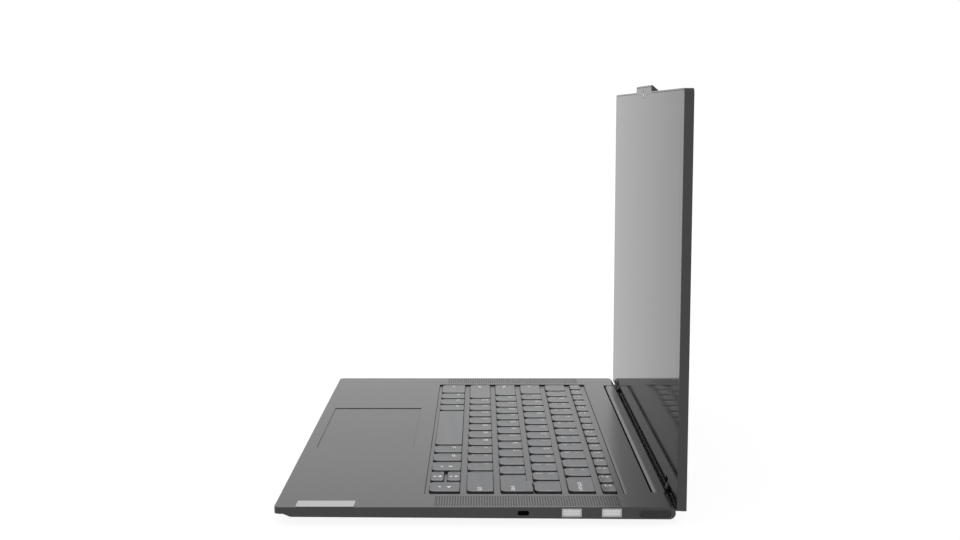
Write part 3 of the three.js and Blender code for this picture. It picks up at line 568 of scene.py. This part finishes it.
def mark_into(bm, cx, cy, radius, sides, turn, cap):
    """A small printed polygon on a cap, one of its corners in the direction of turn."""
    corners = circle(cx, cy, radius, sides, turn)
    loft(bm, [on_cap(corners, cap, lift) for lift in INK])


STEEP, SIDEWAYS = 0.5, 0.85  # a skirt face with less than this along Z and along Y in its normal gets painted shade


def paint_skirt_shade(obj):
    """The left and right sides of the caps get painted shade, a near-black that stands in for the
    shadow in the deep gaps between caps; the rest carries the coating.
    """
    obj.data.materials.append(M["key_skirt_painted_shade"].material)
    for face in obj.data.polygons:
        if face.normal.z < STEEP and abs(face.normal.y) < SIDEWAYS:
            face.material_index = 1


WEB_TOP = box_mm("keyboard_frame")[1][2]
WEB_CLEARANCE = 0.15  # from a cap to the edge of its opening in the web
WEB_CORNER_DEPTH = 0.25


def web_corners_into(bm, cap, steps=5):
    """Rounds the web's opening at the two front corners of a cap."""
    x0, x1, y0, _ = cap
    radius, front = front_corner(cap) - 0.05, y0 - WEB_CLEARANCE
    for corner, sign in ((x0 - WEB_CLEARANCE, 1), (x1 + WEB_CLEARANCE, -1)):
        ring = [(corner, front)]
        for k in range(steps + 1):
            a = math.radians(90 * k / steps)
            reach = radius * (1 - math.sin(a))
            ring.append((corner + sign * radius * (1 - math.cos(a)), front + reach))
        loft(bm, [[(x, y, z) for x, y in ring] for z in (WEB_TOP - WEB_CORNER_DEPTH, WEB_TOP)])


def add_row(name, caps, labels):
    """The caps of one row as one object, and their legends as another."""
    body, node = f"keys_{name}_body", f"keys_{name}"
    bm = bmesh.new()
    for cap in caps:
        keycap_into(bm, cap)
    bmesh.ops.remove_doubles(bm, verts=bm.verts, dist=CUT)
    paint_skirt_shade(from_bmesh(f"keycaps_{name}", bm, "keycaps", body, (node,)))
    if any(labels):
        bm = bmesh.new()
        for cap, label in zip(caps, labels):
            label_cap(bm, cap, label)
        from_bmesh(f"legends_{name}", bm, "legend", body, smooth=20)
    return caps


def add_keyboard():
    """Every cap and legend, and the rounded corners of the web around them."""
    caps = []
    for name, (widths, labels) in ROWS.items():
        caps += add_row(name, row_caps(f"keys_{name}", widths), labels)
    caps += add_arrows() + add_enter()
    bm = bmesh.new()
    for cap in caps:
        web_corners_into(bm, cap)
    from_bmesh("web_corners", bm, "shell", "base", smooth=20)


LEVEL_SQUARE = 0.785  # the turn that sets a printed square level


def add_arrows():
    """Two full arrow caps, and two half ones between them."""
    (x0, y0, _), (x1, y1, _) = box_mm("keys_arrows")
    width = (x1 - x0 + GAP) / 3
    middle, half_gap = (y0 + y1) / 2, 0.85
    columns = [(x0 + i * width, x0 + (i + 1) * width - GAP) for i in range(3)]
    caps = [
        (*columns[0], y0, y1),
        (*columns[1], y0, middle - half_gap),
        (*columns[1], middle + half_gap, y1),
        (*columns[2], y0, y1),
    ]
    add_row("arrows", caps, [])
    bm = bmesh.new()
    for cap, turn in zip(caps, (math.pi, -math.pi / 2, math.pi / 2, 0)):
        cx, cy = (cap[0] + cap[1]) / 2, (cap[2] + cap[3]) / 2
        rise, drop = (1.3, 1.4) if cap[3] - cap[2] < SHALLOW else (2.2, 2.6)
        mark_into(bm, cx, cy + rise, 1.5, 3, turn, cap)
        mark_into(bm, cx, cy - drop, 0.9, 4, LEVEL_SQUARE, cap)
    from_bmesh("legends_arrows", bm, "legend", "keys_arrows_body", smooth=20)
    return caps


STEP_X0, STEP_DEPTH, STEP_OVERLAP = 114.6, 3, 0.9
STEP_PROFILE = [(0.0, KEY_UNDER), (0.02, KEY_TOP - 1.0), (0.2, KEY_TOP - 0.09)]
STEP_PROFILE += [(0.26, KEY_TOP - 0.03), (0.36, KEY_TOP - 0.003), (0.5, KEY_TOP - 0.003)]


def add_enter():
    """The enter cap, with the step that fills the space beside the key behind it."""
    (x0, y0, _), (x1, y1, _) = box_mm("keys_enter")
    depth = y1 - y0 - STEP_DEPTH
    caps = add_row("enter", [(x0, x1, y0, y0 + depth)], ["enter"])
    bm = bmesh.new()
    rings = []
    for inset, z in STEP_PROFILE:
        front = y0 + depth - STEP_OVERLAP
        ring = outline(STEP_X0 + inset, x1 - inset, front, y1 - inset, 0.6, 0.2, 3)
        rings.append([(x, y, z) for x, y in ring])
    loft(bm, rings)
    step = from_bmesh("keycap_enter_step", bm, "keycaps", "keys_enter_body")
    paint_skirt_shade(step)
    return caps


# ---------------------------------------------------------------- speaker grilles

HOLE_PITCH, HOLE_RADIUS, HOLE_SIDES = (1.36, 1.33), 0.38, 8
PLATE_LIFT, CLOTH_DEPTH, CLOTH_OVERLAP, CLOTH_MARGIN = 0.08, 0.18, 0.02, 0.1


def add_grille(side):
    """A thin plate pierced by a fine grid of round holes, over dark dust cloth."""
    (x0, y0, z0), (x1, y1, z1) = box_mm(f"speaker_grille_{side}")
    nx, ny = int((x1 - x0) / HOLE_PITCH[0]), int((y1 - y0) / HOLE_PITCH[1])
    px, py = (x1 - x0) / nx, (y1 - y0) / ny
    bm = bmesh.new()

    def level(z):
        """The corners of the plate's squares at one height, and the corners of its holes."""
        grid = [
            [bm.verts.new(at(x0 + i * px, y0 + j * py, z)) for j in range(ny + 1)]
            for i in range(nx + 1)
        ]
        holes = {}
        for i in range(nx):
            for j in range(ny):
                cx, cy = x0 + (i + 0.5) * px, y0 + (j + 0.5) * py
                ring = circle(cx, cy, HOLE_RADIUS, HOLE_SIDES, math.radians(-157.5))
                holes[i, j] = [bm.verts.new(at(x, y, z)) for x, y in ring]
        return grid, holes

    levels = [level(z0 + PLATE_LIFT), level(z1)]
    for grid, holes in levels:
        for (i, j), ring in holes.items():
            corners = [grid[i][j], grid[i + 1][j], grid[i + 1][j + 1], grid[i][j + 1]]
            for k in range(4):
                a, b, c = (ring[(2 * k + step) % HOLE_SIDES] for step in range(3))
                bm.faces.new((corners[k], b, a))
                bm.faces.new((corners[k], corners[(k + 1) % 4], c, b))
    (low, low_holes), (high, high_holes) = levels
    for key, ring in low_holes.items():
        top = high_holes[key]
        for k in range(HOLE_SIDES):
            following = (k + 1) % HOLE_SIDES
            bm.faces.new((ring[k], ring[following], top[following], top[k]))
    rim = [(i, 0) for i in range(nx)] + [(nx, j) for j in range(ny)]
    rim += [(i, ny) for i in range(nx, 0, -1)] + [(0, j) for j in range(ny, 0, -1)]
    for (a, b), (c, d) in zip(rim, rim[1:] + rim[:1]):
        bm.faces.new((low[a][b], low[c][d], high[c][d], high[a][b]))
    replaced = (f"speaker_grille_{side}",)
    from_bmesh(f"grille_plate_{side}", bm, "shell", "base", replaced, smooth=25)

    bm = bmesh.new()
    across = (x0 + CLOTH_MARGIN, x1 - CLOTH_MARGIN, y0 + CLOTH_MARGIN, y1 - CLOTH_MARGIN)
    box_into(bm, *across, z0 - CLOTH_DEPTH, z0 + CLOTH_OVERLAP)
    from_bmesh(f"grille_cloth_{side}", bm, "grille_dark", "base")


# ---------------------------------------------------------------- sockets and screws

CONTACTS, CONTACT_HALF = 4, 0.5
SOCKET_WALL = 0.22
INSULATOR = (4.0, 0.75)  # its inner and outer end, from the mouth of the socket
FILTER = (0.5, 0.1)  # the same for the dark mesh of painted shade, from the outer face of the vent
FILTER_MARGIN = 0.7


def add_contacts(where):
    """Gold contacts under the tongue of a data socket."""
    (x0, y0, z0), (x1, y1, _) = box_mm(f"usb_a_tongue_{where}")
    bm = bmesh.new()
    for k in range(CONTACTS):
        y = y0 + (y1 - y0) * (k + 0.5) / CONTACTS
        box_into(bm, x0 + 2, x1 - 0.6, y - CONTACT_HALF, y + CONTACT_HALF, z0 - 0.06, z0 + 0.02)
    from_bmesh(f"usb_a_contacts_{where}", bm, "gold", "base")


def add_insulator(where):
    """The light insulator that closes a data socket behind and around its tongue."""
    (_, y0, z0), (x1, y1, z1) = box_mm(f"usb_a_shell_{where}")
    inner, outer = (x1 - depth for depth in INSULATOR)
    bm = bmesh.new()
    walls = (y0 + SOCKET_WALL, y1 - SOCKET_WALL, z0 + SOCKET_WALL, z1 - SOCKET_WALL)
    box_into(bm, inner, outer, *walls)
    name = f"usb_a_insulator_{where}"
    soften(from_bmesh(name, bm, "socket_tongue", "base"), 0.12)


def add_vent_shade_mesh(side):
    """A dark filter mesh behind the louvres: painted shade that hides the bright parts inside and
    keeps the vent dark.
    """
    (x0, y0, z0), (x1, y1, z1) = box_mm(f"side_vent_{side}")
    ends = [x1 - depth if side == "right" else x0 + depth for depth in FILTER]
    margins = (y0 + FILTER_MARGIN, y1 - FILTER_MARGIN, z0 + FILTER_MARGIN, z1 - FILTER_MARGIN)
    bm = bmesh.new()
    box_into(bm, min(ends), max(ends), *margins)
    from_bmesh(f"vent_shade_mesh_{side}", bm, "filter_painted_shade", "base")


SCREW_SIDES = 24
SCREW_PROFILE = [(0.95, 1.6), (0.95, 0.5), (2.1, 0.22), (2.3, 0.14), (2.3, 0.05), (2.22, 0)]
RECESS = ((0.0, 1.0), (0.35, 0.55))  # depths of the cross, and its size at each
CROSS = {0: 1.25, 1: 0.95, 5: 0.95}  # how far its arms reach, by corners from an arm's middle
CROSS_INNER = 0.42
SCREW_Z = -8.62
SCREWS = [(s * 140, y) for s in (-1, 1) for y in (30, 105, 176)] + [(-45, 176), (45, 176), (0, 105)]


def add_screw(index, x, y, z):
    """A countersunk screw head with a cross recess, seen from below."""
    rings = []
    for radius, height in SCREW_PROFILE:
        rings.append([(*point, z + height) for point in circle(x, y, radius, SCREW_SIDES)])
    for depth, scale in RECESS:
        ring = []
        for k in range(SCREW_SIDES):
            a = 2 * math.pi * k / SCREW_SIDES
            arm = CROSS.get(k % 6, CROSS_INNER) * scale
            ring.append((x + arm * math.cos(a), y + arm * math.sin(a), z + depth))
        rings.append(ring)
    bm = bmesh.new()
    loft(bm, rings)
    from_bmesh(f"bottom_screw_{index}", bm, "steel", "base", smooth=35)


# ---------------------------------------------------------------- lid details

AREA_HALF, AREA_LOW, AREA_HIGH, AREA_RADIUS = 150.8, 10.5, 198.9, 0.8
CAMERA_DROP = 4.3  # from the top of the glass to the middle of the camera
MICROPHONES = (-26, -17, 17, 26)
DISC_SIDES = 28


def add_lid_details():
    """The display area of the screen, the camera with its lamp, and the microphones."""
    (_, face, _), (_, _, top) = box_mm("display_glass")
    z = top - CAMERA_DROP
    bm = bmesh.new()
    area = outline(-AREA_HALF, AREA_HALF, AREA_LOW, AREA_HIGH, AREA_RADIUS, AREA_RADIUS, 4)
    loft(bm, [[(x, y, height) for x, height in area] for y in (face + 0.01, face - 0.015)])
    from_bmesh("display_area", bm, "display_area", "lid")
    add_disc("camera_ring", 0, z, face, 2.5, 0.04, "black_plastic")
    add_disc("camera_lens", 0, z, face - 0.03, 1.5, 0.05, "lens")
    add_disc("camera_lamp", 9, z, face, 0.6, 0.03, "socket_tongue")
    for x in MICROPHONES:
        add_disc(f"microphone_{x + 30}", x, z, face, 0.45, 0.02, "grille_dark")


def add_disc(name, x, z, face, radius, height, key):
    """A low disc on the display glass, domed at its rim."""
    rings = []
    profile = ((radius, face + 0.02), (radius, face - height * 0.6), (radius * 0.9, face - height))
    for r, y in profile:
        rings.append([(px, y, pz) for px, pz in circle(x, z, r, DISC_SIDES)])
    bm = bmesh.new()
    loft(bm, rings)
    from_bmesh(name, bm, key, "lid", smooth=30)


# ---------------------------------------------------------------- the object

SOCKET_SPLIT = (("z", -2.95),)
VENT_SPLIT = (("z", -3.2),)
BRACKET_SPLITS = (("y", 184), ("z", 3.1))
DECK_SPLITS = (("x", -10), ("x", -149.65), ("x", 149.65), ("y", 184), ("z", -3))
BOTTOM_SPLITS = [("x", x) for x in (-140, -96, -45, 0, 45, 96, 140)]


def row_splits():
    """Planes along the rows of keys, through every opening of the web."""
    rows = ("function_row", "number_row", "tab_row", "home_row", "shift_row")
    places = [(0.5, box_mm(f"keys_{row}")) for row in rows]
    places += [(share, box_mm("keys_arrows")) for share in (0.25, 0.75)]
    return [("y", low[1] + share * (high[1] - low[1])) for share, (low, high) in places]


FINISHED = (
    ("deck_cover", "shell", 0.12, DECK_SPLITS),
    ("bottom_cover", "shell", 0.2, BOTTOM_SPLITS),
    ("lid_cover", "shell", 0.3, (("x", 0),)),
    ("keyboard_frame", "shell", 0.04, row_splits()),
    ("trackpad", "trackpad", 0.05, ()),
    ("hinge_cover_bar", "hinge_bar", 0.15, (("z", -4.8),)),
    ("badge_plate", "badge", 0.06, ()),
    ("display_glass", "display_glass", 0.12, ()),
    ("front_foot", "rubber", 0.25, ()),
    ("rear_foot", "rubber", 0.25, ()),
    ("power_button", "button", 0.12, ()),
    ("usb_a_shell_front", "socket_metal", 0.05, SOCKET_SPLIT),
    ("usb_a_shell_rear", "socket_metal", 0.05, SOCKET_SPLIT),
    ("usb_a_tongue_front", "socket_tongue", 0.1, ()),
    ("usb_a_tongue_rear", "socket_tongue", 0.1, ()),
    ("hdmi_socket", "socket_metal", 0.05, VENT_SPLIT),
    ("usb_c_socket_front", "socket_metal", 0.05, VENT_SPLIT),
    ("usb_c_socket_rear", "socket_metal", 0.05, VENT_SPLIT),
    ("audio_socket", "black_plastic", 0.08, VENT_SPLIT),
    ("side_vent_right", "vent", 0.05, VENT_SPLIT),
    ("side_vent_left", "vent", 0.05, VENT_SPLIT),
    ("hinge_base_bracket_right", "black_steel", 0.08, BRACKET_SPLITS),
    ("hinge_base_bracket_left", "black_steel", 0.08, BRACKET_SPLITS),
)
CARRIED = {
    "keyboard_membrane": "membrane",
    "keyboard_backplate": "steel",
    "trackpad_bracket": "steel",
    "speaker_right": "black_plastic",
    "speaker_left": "black_plastic",
    "battery_pack": "battery",
    "mainboard": "circuit_board",
    "heatsink": "copper",
    "ssd": "circuit_board",
    "wifi_card": "circuit_board",
    "fan_housing_right": "black_plastic",
    "fan_housing_left": "black_plastic",
    "fan_rotor_right": "black_plastic",
    "fan_rotor_left": "black_plastic",
    "hinge_lid_bracket_right": "black_steel",
    "hinge_lid_bracket_left": "black_steel",
    "hinge_pin_right": "black_steel",
    "hinge_pin_left": "black_steel",
    "display_panel": "black_plastic",
    "camera_module": "circuit_board",
    "display_cable": "black_plastic",
}

for node, key, width, splits in FINISHED:
    refine(node, key, width, splits)
for node, key in CARRIED.items():
    paint(frame["nodes"][node], key)
add_keyboard()
for add, places in (
    (add_grille, ("right", "left")),
    (add_contacts, ("front", "rear")),
    (add_insulator, ("front", "rear")),
    (add_vent_shade_mesh, ("right", "left")),
):
    for place in places:
        add(place)
for number, (x, y) in enumerate(SCREWS):
    add_screw(number, x, y, SCREW_Z)
add_lid_details()

# ---------------------------------------------------------------- stage

FLOOR_HALF = 30.0
FLOOR_TONES = (0.127, 0.13, 0.133)
FLOOR_GLOW, SKY_STRENGTH = 0.9, 1.04
WHITE = (1, 1, 1, 1)


def add_floor():
    """A plain pale floor, lit from within like a light table."""
    mesh = bpy.data.meshes.new("floor")
    lo, _ = CAD_BOX
    signs = ((-1, -1), (1, -1), (1, 1), (-1, 1))
    corners = [(x * FLOOR_HALF, y * FLOOR_HALF, lo.z) for x, y in signs]
    mesh.from_pydata(corners, [], [(0, 1, 2, 3)])
    floor = bpy.data.objects.new("floor", mesh)
    bpy.context.scene.collection.objects.link(floor)
    dark, middle, light = ((tone, tone, tone) for tone in FLOOR_TONES)
    shader = Shader("floor_light_table", middle, 0.9, Specular_IOR_Level=0.0)
    shader.vary_color(shader.noise(3, 2), dark, light)
    shader.set("Emission Color", WHITE)
    shader.set("Emission Strength", FLOOR_GLOW)
    mesh.materials.append(shader.material)


def add_light(name, place, target, size, power):
    """A square soft light at a place, in metres, turned to a target."""
    data = bpy.data.lights.new(name, "AREA")
    data.shape, data.size, data.energy = "SQUARE", size, power
    light = bpy.data.objects.new(name, data)
    light.location = place
    light.rotation_euler = (Vector(target) - Vector(place)).to_track_quat("-Z", "Y").to_euler()
    bpy.context.scene.collection.objects.link(light)


def add_world():
    """Even white light from all round."""
    world = bpy.data.worlds.new("studio")
    world.use_nodes = True
    background = world.node_tree.nodes["Background"]
    background.inputs["Color"].default_value = WHITE
    background.inputs["Strength"].default_value = SKY_STRENGTH
    bpy.context.scene.world = world


add_floor()
add_world()
add_light("key", place=(0.6, -1.0, 2.2), target=(0, 0, 0.05), size=2.4, power=1.5)
bpy.context.scene.view_settings.view_transform = "Standard"
